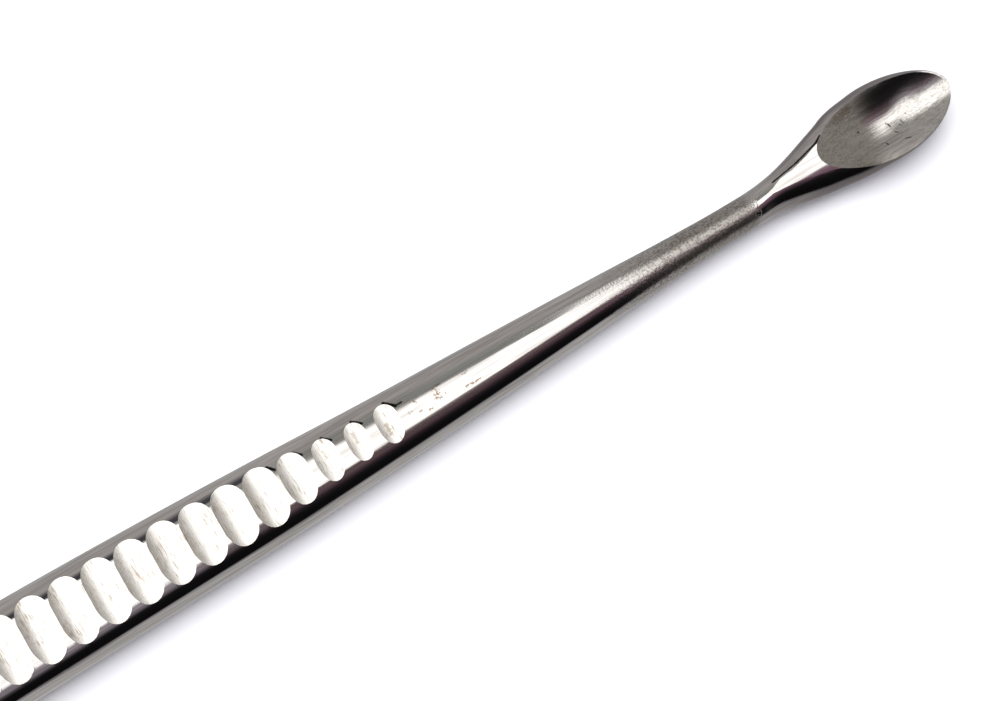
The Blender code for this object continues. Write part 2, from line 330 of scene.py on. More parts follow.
    def spoon_section(self, from_tip: float) -> Section:
        """Section of the flare and the spoon blank, with its face ground flat."""
        share = self.flare_share(from_tip)
        neck = self.neck_diameter / 2
        nose = quarter_ellipse(from_tip / self.spoon_half_length)
        half_width = neck + (self.spoon_width / 2 - neck) * curve_value(self.flare, share)
        level = curve_value(self.face_level, share)
        above = 1 - smooth_step(share / self.face_level_from)
        face = self.rim_height + (neck - self.rim_height) * above
        deep = self.spoon_depth - self.rim_height - neck
        thickness = (face + neck + deep * curve_value(self.belly, share)) * nose / (1 + level)
        faded = smooth_step((share - self.crown_fades_from) / self.crown_fades_over)
        crown = self.face_crown * (1 - faded)
        skew = self.face_skew * curve_value(self.skew_along, share) * nose**2
        return Section(face - level * thickness, half_width * nose, thickness, thickness, 2.0,
                       face, crown, skew, 0.0)

    def ring(self, from_tip: float) -> list[tuple[float, float]]:
        """Points round a section, over the top from -Y to +Y and back underneath.

        Args:
            from_tip: Distance of the section from the tip.

        Returns:
            Pairs of y and z from the forging axis, before its roll, set and bow.
        """
        spoon = self.flare_share(from_tip) > 0
        section = self.spoon_section(from_tip) if spoon else self.handle_section(from_tip)
        plain = self.plain_top_share * section.half_width
        top_edge = max(plain, section.face_half_width())
        bottom_edge = section.flat or plain
        side = section.side(top_edge, bottom_edge, self.side_steps)
        if section.flat:
            side[-1] = (section.flat, -self.axis_height)
        top, bottom = [], []
        for i in range(1, self.top_steps):
            y = top_edge * (2 * i / self.top_steps - 1)
            arc = section.centre + section.arc(y, section.upper)
            crowned = section.face + section.crown * top_edge * (1 - (y / top_edge) ** 2)
            top.append((y, min(arc, crowned)))
        for i in range(1, self.bottom_steps):
            y = bottom_edge * (1 - 2 * i / self.bottom_steps)
            under = section.centre - section.arc(y, section.lower)
            bottom.append((y, -self.axis_height if section.flat else under))
        ring = top + side + bottom + [(-y, z) for y, z in reversed(side)]
        return [(y + section.crest * max(z, 0.0) / section.upper, z) for y, z in ring]

    def stations(self) -> list[float]:
        """Distances from the tip at which the body has a section."""
        def even(start: float, end: float, steps: int) -> list[float]:
            return [start + (end - start) * i / steps for i in range(steps)]
        butt = self.length - self.butt_rounding
        flat_back = self.length - self.flat_back_from_butt
        nose = [self.spoon_half_length * (1 - math.cos(a))
                for a in even(self.nose_start, math.pi / 2, self.nose_steps)]
        rounding = [butt + self.butt_rounding * math.sin(a)
                    for a in even(0, self.butt_end, self.butt_steps)]
        return (nose + even(self.spoon_half_length, self.flare_from_tip, self.flare_steps)
                + even(self.flare_from_tip, self.flat_front_from_tip, self.taper_steps)
                + even(self.flat_front_from_tip, flat_back, self.flat_steps)
                + [flat_back] + rounding)

    def point(self, from_tip: float, y: float, z: float) -> Vector:
        """World position of a section's point, after the face's roll, the set and the bow."""
        roll = self.roll(from_tip)
        aside = self.head_offset(from_tip) + self.bow(from_tip)
        return Vector((self.length / 2 - from_tip,
                       aside + y * math.cos(roll) - z * math.sin(roll),
                       self.axis_height + y * math.sin(roll) + z * math.cos(roll)))

    def build(self, name: str) -> bpy.types.Object:
        """Loft the blank through its sections and close it at the tip and the butt."""
        bm = bmesh.new()
        rings = [[bm.verts.new(self.point(t, y, z)) for y, z in self.ring(t)]
                 for t in self.stations()]
        for ring, following in zip(rings, rings[1:]):
            for i, vertex in enumerate(ring):
                j = (i + 1) % len(ring)
                bm.faces.new((vertex, following[i], following[j], ring[j]))
        tip = bm.verts.new(self.point(0.0, 0.0, self.rim_height))
        butt = bm.verts.new((-self.length / 2, 0.0, self.axis_height))
        for apex, ring in ((tip, rings[0]), (butt, rings[-1])):
            for i, vertex in enumerate(ring):
                bm.faces.new((apex, vertex, ring[(i + 1) % len(ring)]))
        return object_from(name, bm)


@dataclass(frozen=True)
class Section:
    """One cross-section of the blank, in metres from the forging axis."""

    centre: float
    half_width: float
    upper: float
    lower: float
    exponent: float
    face: float
    crown: float
    crest: float
    flat: float

    def arc(self, y: float, thickness: float) -> float:
        """Height of the superellipse over or under its centre at y from the middle."""
        inside = 1 - min(abs(y) / self.half_width, 1.0) ** self.exponent
        return thickness * max(inside, 0.0) ** (1 / self.exponent)

    def face_half_width(self) -> float:
        """Half-width of the face where its plane leaves the blank's top."""
        reach = min((self.face - self.centre) / self.upper, 1.0)
        inside = 1 - reach ** self.exponent
        return self.half_width * max(inside, 0.0) ** (1 / self.exponent)

    def side(self, top_edge: float, bottom_edge: float, steps: int) -> list[tuple[float, float]]:
        """Points down the +Y side, from the edge of the face to the edge underneath."""
        power = 2 / self.exponent
        start = math.acos(min(top_edge / self.half_width, 1.0) ** (1 / power))
        end = -math.acos(min(bottom_edge / self.half_width, 1.0) ** (1 / power))
        points = []
        for i in range(steps + 1):
            a = start + (end - start) * i / steps
            thickness = self.upper if a > 0 else self.lower
            rise = math.copysign(abs(math.sin(a)) ** power, a)
            points.append((self.half_width * math.cos(a) ** power,
                           self.centre + thickness * rise))
        return points


def object_from(name: str, bm: bmesh.types.BMesh) -> bpy.types.Object:
    """Close a bmesh into a smooth object whose faces point outwards."""
    bmesh.ops.recalc_face_normals(bm, faces=bm.faces)
    mesh = bpy.data.meshes.new(name)
    bm.to_mesh(mesh)
    bm.free()
    mesh.shade_smooth()
    made = bpy.data.objects.new(name, mesh)
    bpy.context.scene.collection.objects.link(made)
    return made


@dataclass
class Scallops:
    """Thumb scallops, ground across the top of the grip with a round-edged wheel."""

    pitch: float = 0.00288
    radius: float = 0.00275
    depth: float = 0.00043
    first_from_tip: float = 0.0583
    butt_margin: float = 0.034
    lean: float = math.radians(0.7)
    skew: float = math.radians(2.4)
    run_in: tuple[float, ...] = (0.44, 0.38, 0.46, 0.72)
    overhang: float = 1.6
    segments: int = 320

    def forms(self, blank: Blank) -> list[bpy.types.Object]:
        """Make two sets of rollers, so that neighbours don't overlap in one cut."""
        room = blank.length - self.butt_margin - self.first_from_tip
        places = [self.first_from_tip + i * self.pitch
                  for i in range(int(room / self.pitch) + 1)]
        made = []
        for first in (0, 1):
            bm = bmesh.new()
            for i, from_tip in list(enumerate(places))[first::2]:
                share = self.run_in[i] if i < len(self.run_in) else 1.0
                top = blank.handle_size(from_tip)[1]
                height = blank.axis_height + top - self.depth * share + self.radius
                place = (Matrix.Translation((blank.length / 2 - from_tip, 0.0, height))
                         @ Matrix.Rotation(-self.skew, 4, "Z")
                         @ Matrix.Rotation(math.pi / 2 - self.lean, 4, "X"))
                bmesh.ops.create_cone(bm, cap_ends=True, segments=self.segments,
                                      radius1=self.radius, radius2=self.radius,
                                      depth=self.overhang * blank.handle_width, matrix=place)
            made.append(object_from(f"scallop_rollers_{first}", bm))
        return made


@dataclass
class Hollow:
    """The spoon's oval hollow, ground with a rounded form."""

    length: float = 0.01375
    width: float = 0.00660
    depth: float = 0.0016
    tip_land: float = 0.00016
    side_shift: float = 0.00034
    overrun: float = 1.3
    segments: int = 256
    rings: int = 60
    merge_distance: float = 1e-4

    def form(self, blank: Blank) -> bpy.types.Object:
        """Make the turned grinding form, a paraboloid drawn out along the spoon."""
        bm = bmesh.new()
        profile = [bm.verts.new((self.overrun * i / self.rings, 0.0,
                                 (self.overrun * i / self.rings) ** 2))
                   for i in range(self.rings + 1)]
        profile.append(bm.verts.new((0.0, 0.0, self.overrun ** 2)))
        edges = [bm.edges.new(pair) for pair in zip(profile, profile[1:])]
        bmesh.ops.spin(bm, geom=profile + edges, angle=2 * math.pi, steps=self.segments,
                       axis=(0, 0, 1), cent=(0, 0, 0))
        bmesh.ops.remove_doubles(bm, verts=bm.verts, dist=self.merge_distance)
        size = Matrix.Diagonal((self.length / 2, self.width / 2, self.depth, 1.0))
        from_tip = self.tip_land + self.length / 2
        place = Matrix.Translation((blank.length / 2 - from_tip,
                                    blank.head_set - self.side_shift,
                                    blank.axis_height + blank.rim_height - self.depth))
        bmesh.ops.transform(bm, matrix=place @ size, verts=bm.verts)
        return object_from("hollow_form", bm)


@dataclass(frozen=True)
class Stroke:
    """Straight stroke, or a spot where it is short, by its place in millimetres: a scratch, stain
    or pit, or a line of painted shade.
    """

    start: tuple[float, float]
    end: tuple[float, float]
    width: float
    strength: float = 1.0


@dataclass(frozen=True)
class Streak:
    """Noise drawn out in one direction, as grit leaves it, with its sizes in millimetres."""

    along: Along
    length: float
    width: float
    detail: float = 4.0
    shift: float = 0.0


class Pattern(NodeTree):
    """Node tree of one steel finish, with patterns measured in real millimetres."""

    streak_roughness = 0.55
    grain_roughness = 0.6
    wear_per_mm = 7.0
    wear_detail = 3.0
    # The noise strays about a quarter from its middle, and this makes it stray by 1.
    wear_gain = 4.0
    # A stroke fades out between these shares of its half-width.
    fade = (0.6, 1.4)

    def __init__(self, name: str) -> None:
        """Start a material whose coordinates are the object's own millimetres."""
        self.material = bpy.data.materials.new(name)
        super().__init__(self.material)
        metres = self.add(Kind.COORDINATES, output="Object")
        self.place = self.add(Kind.VECTOR, SCALE, {0: metres, "Scale": MM_PER_M})

    def streaks(self, streak: Streak) -> bpy.types.NodeSocket:
        """Draw long or crosswise streaks, with values about 0.5."""
        scale = [1 / streak.width] * 3
        scale[streak.along.value] = 1 / streak.length
        moved = self.add(Kind.MAPPING, None, {"Vector": self.place, "Scale": scale,
                                              "Location": [streak.shift] * 3})
        return self.add(Kind.NOISE, None, {"Vector": moved, "Scale": 1.0,
                                           "Detail": streak.detail,
                                           "Roughness": self.streak_roughness})

    def weighed(self, parts: Sequence[tuple[bpy.types.NodeSocket, float]]) -> Any:
        """Add up values, each with its own weight."""
        total: Any = 0.0
        for value, weight in parts:
            total = self.add(Kind.MATH, TIMES_PLUS, (value, weight, total))
        return total

    def marks(self, strokes: Sequence[Stroke], ragged: float) -> Any:
        """Mask of thin strokes and spots: up to 1 on them, 0 beside them.

        Args:
            strokes: The strokes, in the object's millimetres as seen from above.
            ragged: How far, in millimetres, fine noise wears their edges.

        Returns:
            Socket with the strongest stroke at each place.
        """
        flat = self.add(Kind.VECTOR, TIMES, (self.place, (1.0, 1.0, 0.0)))
        noise = self.add(Kind.NOISE, None, {"Vector": self.place, "Scale": self.wear_per_mm,
                                            "Detail": self.wear_detail})
        middle = self.add(Kind.MATH, SUBTRACT, (noise, 0.5))
        wear = self.add(Kind.MATH, TIMES, (middle, self.wear_gain * ragged))
        mask: Any = 0.0
        for stroke in strokes:
            start, end = Vector((*stroke.start, 0.0)), Vector((*stroke.end, 0.0))
            way = end - start
            unit = way / max(way.length_squared, 1e-6)
            apart = self.add(Kind.VECTOR, SUBTRACT, (flat, start[:]))
            along = self.add(Kind.VECTOR, {"operation": "DOT_PRODUCT"}, (apart, unit[:]),
                             output="Value")
            share = self.add(Kind.CLAMP, None, (along,))
            foot = self.add(Kind.VECTOR, SCALE, {0: way[:], "Scale": share})
            gap = self.add(Kind.VECTOR, {"operation": "DISTANCE"}, (apart, foot),
                           output="Value")
            worn = self.add(Kind.MATH, ADD, (gap, wear))
            near, far = (part * stroke.width / 2 for part in self.fade)
            one = self.add(Kind.RANGE, SMOOTH, (worn, near, far, stroke.strength, 0.0))
            mask = self.add(Kind.MATH, GREATER, (mask, one))
        return mask

    def tinted(self, colour: Any, layers: Sequence[tuple[Any, str]]) -> Any:
        """Lay hex colours over a colour, each by its own mask."""
        for mask, layer in layers:
            colour = self.add(Kind.MIX, COLOURS, {0: mask, 6: colour, 7: linear(layer)},
                              output=2)
        return colour

    def finish(self, colour: Any, roughness: Any, height: Any, bump_mm: float,
               drawn: float = 0.0) -> bpy.types.Material:
        """Close the material as bare metal.

        Args:
            colour: Reflected colour, or the socket that gives it.
            roughness: Roughness, or the socket that gives it.
            height: Socket with the relief, from 0 to 1.
            bump_mm: Height of the relief in millimetres.
            drawn: How much grinding lines across the piece stretch its reflections
                lengthwise, from 0 to 1.

        Returns:
            The material.
        """
        normal = self.add(Kind.BUMP, None,
                          {"Height": height, "Distance": bump_mm / MM_PER_M,
                           "Strength": 1.0}, output="Normal")
        # A quarter turn from the tangent round the piece stretches reflections lengthwise.
        tangent = self.add(Kind.TANGENT, {"direction_type": "RADIAL", "axis": "X"})
        shader = self.add(Kind.METAL, None, {
            "Base Color": colour, "Metallic": 1.0, "Roughness": roughness, "Normal": normal,
            "Anisotropic": drawn, "Anisotropic Rotation": 0.25, "Tangent": tangent})
        self.add(Kind.SURFACE, None, (shader,))
        return self.material


@dataclass(frozen=True)
class BuffedForging:
    """Stainless steel, forged and buffed lengthwise: mirror-like with fine long scratches.

    The neck just behind the spoon was blasted and only half polished away, so it is
    grainy and dull there. The spoon's sides are less polished than its face, and their
    colour is darkened where they turn away from straight up: painted shade in their
    reflections. Painted shade also lies dark in the corners beside the scallops and the
    face, and along the +Y edge of the handle's top. Real buffing scratches are about
    0.01 mm wide and blast marks about 0.05 mm, too fine to show, so they are drawn one
    to two pixels of the picture wide.
    """

    steel: str = "#c9c6c4"
    shade: str = "#aeaaa8"
    # Painted shade on the spoon's sides, where they face away from straight up.
    painted_side_shade: str = "#827b7c"
    blast: str = "#7a736c"
    # Painted shade in the corners beside the scallops and the face.
    painted_corner_shade: str = "#1b1a1f"
    # Painted shade along the +Y edge of the handle's top.
    painted_shoulder_shade: str = "#393a47"
    tarnish: str = "#6b5738"
    scratches: Streak = Streak(Along.LENGTH, 6.0, 0.10)
    bands: Streak = Streak(Along.LENGTH, 14.0, 0.42, shift=7.0)
    scratch_share: float = 0.45
    mottle: Ramp = Ramp(0.40, 0.62)
    polish: Ramp = Ramp(0.3, 0.75, 0.0525, 0.1275)
    bump_mm: float = 0.0012
    neck_from_mm: Ramp = Ramp(44.0, 57.0)
    neck_to_mm: Ramp = Ramp(63.05, 63.75, 1.0, 0.0)
    neck_ragged_mm: float = 2.4
    neck_roughness: float = 0.29
    grain_mm: float = 0.20
    grain_detail: float = 1.5
    grain_bump: float = 22.0
    grain_pits: Ramp = Ramp(0.44, 0.60, 0.35, 0.85)
    # Where the spoon's sides get painted shade and more roughness.
    sides_facing: Ramp = Ramp(0.55, 0.93, 1.0, 0.0)
    sides_from_mm: Ramp = Ramp(59.4, 72.4)
    sides_roughness: float = 0.30
    # Where the painted shade along the +Y edge of the handle's top lies, in millimetres.
    painted_shoulder_shade_inner_mm: Ramp = Ramp(2.0, 2.12)
    painted_shoulder_shade_outer_mm: Ramp = Ramp(2.3, 2.75, 0.9, 0.0)
    painted_shoulder_shade_front_mm: Ramp = Ramp(14.5, 16.0, 1.0, 0.0)
    corner_wear_mm: float = 0.02
    speck_wear_mm: float = 0.16
    # Strokes of painted shade along the face's edge and at the scallops' ends.
    corners: tuple[Stroke, ...] = (
        Stroke((65.99, 0.92), (68.75, 1.31), 0.13), Stroke((68.75, 1.31), (70.62, 1.75), 0.15),
        Stroke((70.62, 1.75), (71.36, 1.94), 0.16), Stroke((71.36, 1.94), (72.04, 2.29), 0.18),
        Stroke((27.15, 1.74), (27.85, 1.06), 0.27), Stroke((27.8, 1.06), (28.45, 1.05), 0.18, 0.9),
        Stroke((24.1, 1.78), (24.75, 1.22), 0.24), Stroke((21.35, 1.86), (21.93, 1.32), 0.24),
        Stroke((18.8, 2.02), (19.28, 1.52), 0.24), Stroke((16.4, 2.08), (16.8, 1.60), 0.24))
    specks: tuple[Stroke, ...] = (
        Stroke((31.05, 0.66), (31.3, 0.62), 0.13, 0.7),
        Stroke((31.6, 0.74), (31.8, 0.7), 0.11, 0.7),
        Stroke((31.1, 0.17), (31.35, 0.1), 0.18, 0.8),
        Stroke((31.45, 0.38), (31.5, 0.2), 0.15, 0.8),
        Stroke((30.95, -0.1), (31.15, -0.12), 0.15, 0.8),
        Stroke((31.3, -0.25), (31.5, -0.3), 0.17, 0.7),
        Stroke((31.9, -0.1), (31.95, -0.15), 0.12, 0.6),
        Stroke((29.3, 0.6), (29.4, 0.5), 0.17, 0.8),
        Stroke((28.5, -0.05), (28.7, -0.1), 0.14, 0.7),
        Stroke((29.35, -0.34), (29.5, -0.36), 0.15, 0.7),
        Stroke((30.1, -0.66), (30.3, -0.7), 0.16, 0.7),
        Stroke((34.0, 0.47), (34.3, 0.47), 0.13, 0.6),
        Stroke((33.65, -0.57), (35.08, -0.56), 0.10, 0.8))

    def material(self) -> bpy.types.Material:
        """Make the material."""
        p = Pattern("buffed_stainless_steel")
        fine, broad = p.streaks(self.scratches), p.streaks(self.bands)
        grain = p.add(Kind.NOISE, None, {"Vector": p.place, "Scale": 1 / self.grain_mm,
                                         "Detail": self.grain_detail,
                                         "Roughness": p.grain_roughness})
        x, y = (p.add(Kind.PARTS, None, (p.place,), output=axis) for axis in "XY")
        normal = p.add(Kind.COORDINATES, output="Normal")
        facing = p.add(Kind.PARTS, None, (normal,), output="Z")
        around = p.add(Kind.MATH, SUBTRACT, (grain, 0.5))
        edge = p.add(Kind.MATH, TIMES_PLUS, (around, self.neck_ragged_mm, x))
        zones = {}
        for name, ramps in {
                "neck": ((x, self.neck_from_mm), (edge, self.neck_to_mm)),
                "sides": ((facing, self.sides_facing), (x, self.sides_from_mm)),
                "painted_shoulder_shade": ((y, self.painted_shoulder_shade_inner_mm), (y, self.painted_shoulder_shade_outer_mm),
                          (x, self.painted_shoulder_shade_front_mm))}.items():
            zones[name] = 1.0
            for value, ramp in ramps:
                part = p.add(Kind.RANGE, SMOOTH, (value, *ramp))
                zones[name] = p.add(Kind.MATH, TIMES, (zones[name], part))
        mottled = p.weighed(((fine, self.scratch_share), (broad, 1 - self.scratch_share)))
        pitted = p.add(Kind.RANGE, SMOOTH, (grain, *self.grain_pits))
        colour = p.tinted(linear(self.steel), (
            (p.add(Kind.RANGE, SMOOTH, (mottled, *self.mottle)), self.shade),
            # Painted shade: the spoon's sides darkened where they face away from straight up.
            (zones["sides"], self.painted_side_shade),
            (p.add(Kind.MATH, TIMES, (pitted, zones["neck"])), self.blast),
            # Painted shade: a dark band along the +Y edge of the handle's top.
            (zones["painted_shoulder_shade"], self.painted_shoulder_shade),
            (p.marks(self.specks, self.speck_wear_mm), self.tarnish),
            # Painted shade: dark strokes in the corners beside the face and the scallops.
            (p.marks(self.corners, self.corner_wear_mm), self.painted_corner_shade)))
        buffed = p.add(Kind.RANGE, SMOOTH, (broad, *self.polish))
        dulled = p.add(Kind.MIX, {"data_type": "FLOAT"},
                       {0: zones["neck"], 2: buffed, 3: self.neck_roughness})
        beside = p.add(Kind.MATH, TIMES, (zones["sides"], self.sides_roughness))
        roughness = p.add(Kind.MATH, GREATER, (dulled, beside))
        blasted = p.add(Kind.MATH, TIMES, (grain, zones["neck"]))
        relief = p.add(Kind.MATH, TIMES_PLUS, (blasted, self.grain_bump, fine))
        return p.finish(colour, roughness, relief, self.bump_mm)


@dataclass(frozen=True)
class GroundScallops:
    """Stainless steel ground across the grip, with short beige grit lines; its colour is painted
    paler than the buffed steel's, as painted light that brightens its reflections.

    The lines run across, so they smear reflections lengthwise: the walls of the
    scallops pick up the window and look pale instead of dark. Real grit lines are
    about 0.02 mm wide, too fine to show, so they are drawn about a pixel wide.
    """

    # Paler than the buffed forging's steel: painted light that brightens the scallops' reflections.
    steel: str = "#dfdcd8"
    shade: str = "#95897a"
    tarnish: str = "#7d6848"
    grit: Streak = Streak(Along.WIDTH, 1.0, 0.075, detail=3.0)
    patch_mm: float = 1.6
    patch_detail: float = 3.0
    patch_share: float = 0.5
    lines: Ramp = Ramp(0.52, 0.72, 0.0, 0.80)
    polish: Ramp = Ramp(0.3, 0.7, 0.25075, 0.354)
    bump_mm: float = 0.003
    drawn: float = 0.85
    stain_wear_mm: float = 0.15
    stains: tuple[Stroke, ...] = (
        Stroke((23.72, 0.89), (23.70, 0.09), 0.34, 0.4),
        Stroke((20.9, 0.9), (20.9, 0.3), 0.25, 0.3),
        Stroke((26.41, 0.12), (26.39, -0.68), 0.34, 0.55))

    def material(self) -> bpy.types.Material:
        """Make the material."""
        p = Pattern("ground_stainless_steel")
        fine = p.streaks(self.grit)
        patchy = p.add(Kind.NOISE, None, {"Vector": p.place, "Scale": 1 / self.patch_mm,
                                          "Detail": self.patch_detail,
                                          "Roughness": p.grain_roughness})
        around = p.add(Kind.MATH, SUBTRACT, (patchy, 0.5))
        lined = p.add(Kind.MATH, TIMES_PLUS, (around, self.patch_share, fine))
        colour = p.tinted(linear(self.steel), (
            (p.add(Kind.RANGE, SMOOTH, (lined, *self.lines)), self.shade),
            (p.marks(self.stains, self.stain_wear_mm), self.tarnish)))
        roughness = p.add(Kind.RANGE, SMOOTH, (fine, *self.polish))
        return p.finish(colour, roughness, fine, self.bump_mm, self.drawn)


@dataclass(frozen=True)
class BrushedHollow:
    """Stainless steel brushed lengthwise inside the spoon, with a few pits and a stain.

    Real brush marks are about 0.01 mm wide, too fine to show, so they are drawn nearly
    a pixel wide, with bands of about three pixels among them.
    """

    steel: str = "#c6c3c0"
    shade: str = "#9c9893"
    pit: str = "#2b2723"
    tarnish: str = "#5f4a39"
    marks: Streak = Streak(Along.LENGTH, 5.0, 0.055)
    bands: Streak = Streak(Along.LENGTH, 9.0, 0.26, shift=3.0)
    mark_share: float = 0.65
    mottle: Ramp = Ramp(0.42, 0.64)
    polish: Ramp = Ramp(0.3, 0.7, 0.136, 0.221)
    bump_mm: float = 0.011
    pit_wear_mm: float = 0.02
    pits: tuple[Stroke, ...] = (
        Stroke((78.75, 0.30), (78.8, 0.02), 0.13), Stroke((78.6, 0.42), (78.65, 0.40), 0.10),
        Stroke((75.86, 1.01), (75.95, 1.0), 0.16, 0.8), Stroke((77.46, -1.10), (77.5, -1.25), 0.13),
        Stroke((78.85, -0.62), (79.0, -0.78), 0.12, 0.8),
        Stroke((79.1, -1.62), (79.5, -1.78), 0.10),
        Stroke((79.9, 0.05), (79.95, -0.3), 0.10, 0.8), Stroke((79.6, -0.2), (79.65, -0.42), 0.08),
        Stroke((74.0, 0.6), (74.05, 0.6), 0.10, 0.5), Stroke((80.6, 0.35), (80.65, 0.2), 0.08, 0.6))
    stain: Stroke = Stroke((74.3, 2.8), (75.7, 3.1), 0.80, 0.42)
    stain_wear_mm: float = 0.40

    def material(self) -> bpy.types.Material:
        """Make the material."""
        p = Pattern("brushed_stainless_steel")
        fine, broad = p.streaks(self.marks), p.streaks(self.bands)
        lines = p.weighed(((fine, self.mark_share), (broad, 1 - self.mark_share)))
        colour = p.tinted(linear(self.steel), (
            (p.add(Kind.RANGE, SMOOTH, (lines, *self.mottle)), self.shade),
            (p.marks((self.stain,), self.stain_wear_mm), self.tarnish),
            (p.marks(self.pits, self.pit_wear_mm), self.pit)))
        roughness = p.add(Kind.RANGE, SMOOTH, (fine, *self.polish))
        return p.finish(colour, roughness, lines, self.bump_mm)


@dataclass
class Curette:
    """The whole instrument: the blank, its cuts and its finishes."""

    blank: Blank = field(default_factory=Blank)
    scallops: Scallops = field(default_factory=Scallops)
    hollow: Hollow = field(default_factory=Hollow)
    sharp: float = math.radians(12)

    def build(self) -> bpy.types.Object:
        """Cut the blank with the grinding forms and dress it.

        Returns:
            The finished piece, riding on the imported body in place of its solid.
        """
        finishes = {Zone.BODY: BuffedForging().material(),
                    Zone.SCALLOPS: GroundScallops().material(),
                    Zone.HOLLOW: BrushedHollow().material()}
        body = self.blank.build("curette_body")
        body.data.materials.append(finishes[Zone.BODY])
        forms = [(form, Zone.SCALLOPS) for form in self.scallops.forms(self.blank)]
        forms.append((self.hollow.form(self.blank), Zone.HOLLOW))
        for form, zone in forms:
            form.data.materials.append(finishes[zone])
            modifier = body.modifiers.new(form.name, "BOOLEAN")
            modifier.operation = "DIFFERENCE"
            modifier.solver = "EXACT"
            modifier.material_mode = "TRANSFER"
            modifier.object = form
        depsgraph = bpy.context.evaluated_depsgraph_get()
        mesh = bpy.data.meshes.new_from_object(body.evaluated_get(depsgraph))
        body.modifiers.clear()
        body.data = mesh
        mesh.shade_smooth()
        mesh.set_sharp_from_angle(angle=self.sharp)
        for form, _ in forms:
            bpy.data.objects.remove(form)
        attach(body, BODY)
        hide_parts(NODE)
        mesh.calc_loop_triangles()
        LOG.info("%s: %d triangles, materials %s", body.name, len(mesh.loop_triangles),
                 [m.name for m in mesh.materials])
        return body


@dataclass(frozen=True)
class Fringe:
    """Coloured glow below the window's sill, in one stretch of the room, in degrees."""

    colour: str
    along: Ramp
    under: Ramp


class Sill(NamedTuple):
    """Slanting edge of the window: degrees across by degrees along, up to a highest."""

    slope: float
    middle: float
    highest: float


@dataclass(frozen=True)
class Surroundings:
    """The room as the steel shows it, by angle across and along the instrument.

    Across is 0 straight up and positive towards +Y; along is positive towards +X. A
    bright window lies overhead. Its sill on the -Y side dips in the middle, its edge
    towards +Y draws in over one stretch ahead, and coloured fringes lie between the
    sill and a dark room. Pale walls lie elsewhere. The paper gets only part of this
    light, for the lamp gives it the rest, so that the shadow falls to one side.
    """

    window: str = "#fffefc"
    window_light: float = 2.15
    window_ends: Ramp = Ramp(26.5, 31.5, 1.0, 0.0)
    top: float = 13.0
    top_edge: Ramp = Ramp(-1.2, 1.2)
    top_rises: tuple[Ramp, ...] = (Ramp(13.0, 8.5, 0.0, 18.0), Ramp(19.5, 22.0, 0.0, 21.0))
    sills: tuple[Sill, ...] = (Sill(1.30, -31.0, -11.0), Sill(-4.0, -17.0, -10.0))
    sill_edge: Ramp = Ramp(-1.5, 1.5)
    fringes: tuple[Fringe, ...] = (
        Fringe("#b2aab3", Ramp(12.0, 7.0), Ramp(-24.0, -5.0)),
        Fringe("#8e6e81", Ramp(20.5, 22.5), Ramp(-32.0, -5.0)))
    fringe_top: Ramp = Ramp(-8.0, 0.0, 1.0, 0.0)
    far_wall: str = "#a4a09a"
    far_from: Ramp = Ramp(27.0, 38.0)
    for_paper: str = "#a9abba"
    walls: tuple[tuple[float, str], ...] = (
        (-90, "#aaa8ad"), (-84, "#aaa8ad"), (-78, "#111011"), (-55, "#151416"),
        (-44, "#1c1b1d"), (-35, "#3a2d34"), (-25, "#6c585f"), (-12, "#80706f"),
        (8, "#9c9e9a"), (25, "#9fa19d"), (45, "#bfbcb8"), (65, "#bebbb9"), (90, "#cbc8c6"))

    def build(self) -> None:
        """Make the world."""
        world = bpy.data.worlds.new("room")
        bpy.context.scene.world = world
        t = NodeTree(world)
        sight = t.add(Kind.COORDINATES, output="Generated")
        x, y, z = (t.add(Kind.PARTS, None, (sight,), output=axis) for axis in "XYZ")
        lean = t.add(Kind.MATH, {"operation": "ARCSINE"}, (x,))
        along = t.add(Kind.MATH, TIMES, (lean, DEGREES_PER_RADIAN))
        turn = t.add(Kind.MATH, {"operation": "ARCTAN2"}, (y, z))
        across = t.add(Kind.MATH, TIMES, (turn, DEGREES_PER_RADIAN))
        heights = []
        for line in self.sills:
            slant = t.add(Kind.MATH, TIMES_PLUS, (along, line.slope, line.middle))
            heights.append(t.add(Kind.MATH, LESSER, (slant, line.highest)))
        sill = t.add(Kind.MATH, GREATER, tuple(heights))
        over = t.add(Kind.MATH, SUBTRACT, (across, sill))
        top: Any = self.top
        for ramp in self.top_rises:
            rise = t.add(Kind.RANGE, SMOOTH, (along, *ramp))
            top = t.add(Kind.MATH, ADD, (top, rise))
        below = t.add(Kind.MATH, SUBTRACT, (top, across))
        place = t.add(Kind.RANGE, None, (across, -90.0, 90.0))
        room = t.add(Kind.RAMP, None, (place,), output="Color",
                     stops=[((angle + 90) / 180, linear(c)) for angle, c in self.walls])
        layers = [(((over, f.under), (along, f.along), (across, self.fringe_top)),
                   linear(f.colour)) for f in self.fringes]
        layers.append((((along, self.far_from),), linear(self.far_wall)))
        light = [self.window_light * part for part in linear(self.window)[:3]]
        layers.append((((over, self.sill_edge), (below, self.top_edge),
                        (along, self.window_ends)), (*light, 1.0)))
        for ramps, colour in layers:
            mask: Any = 1.0
            for value, ramp in ramps:
                part = t.add(Kind.RANGE, SMOOTH, (value, *ramp))
                mask = t.add(Kind.MATH, TIMES, (mask, part))
            room = t.add(Kind.MIX, COLOURS, {0: mask, 6: room, 7: colour}, output=2)
        camera = t.add(Kind.RAY, output="Is Camera Ray")
        shown = t.add(Kind.MIX, COLOURS, {0: camera, 6: room, 7: (1.0, 1.0, 1.0, 1.0)},
                      output=2)
        diffuse = t.add(Kind.RAY, output="Is Diffuse Ray")
        given = t.add(Kind.MIX, {"data_type": "RGBA", "blend_type": "MULTIPLY"},
                      {0: diffuse, 6: shown, 7: linear(self.for_paper)}, output=2)
        background = t.add(Kind.BACKGROUND, None, (given, 1.0))
        t.add(Kind.WORLD, None, (background,))
        LOG.info("room: window of %.1f", self.window_light)


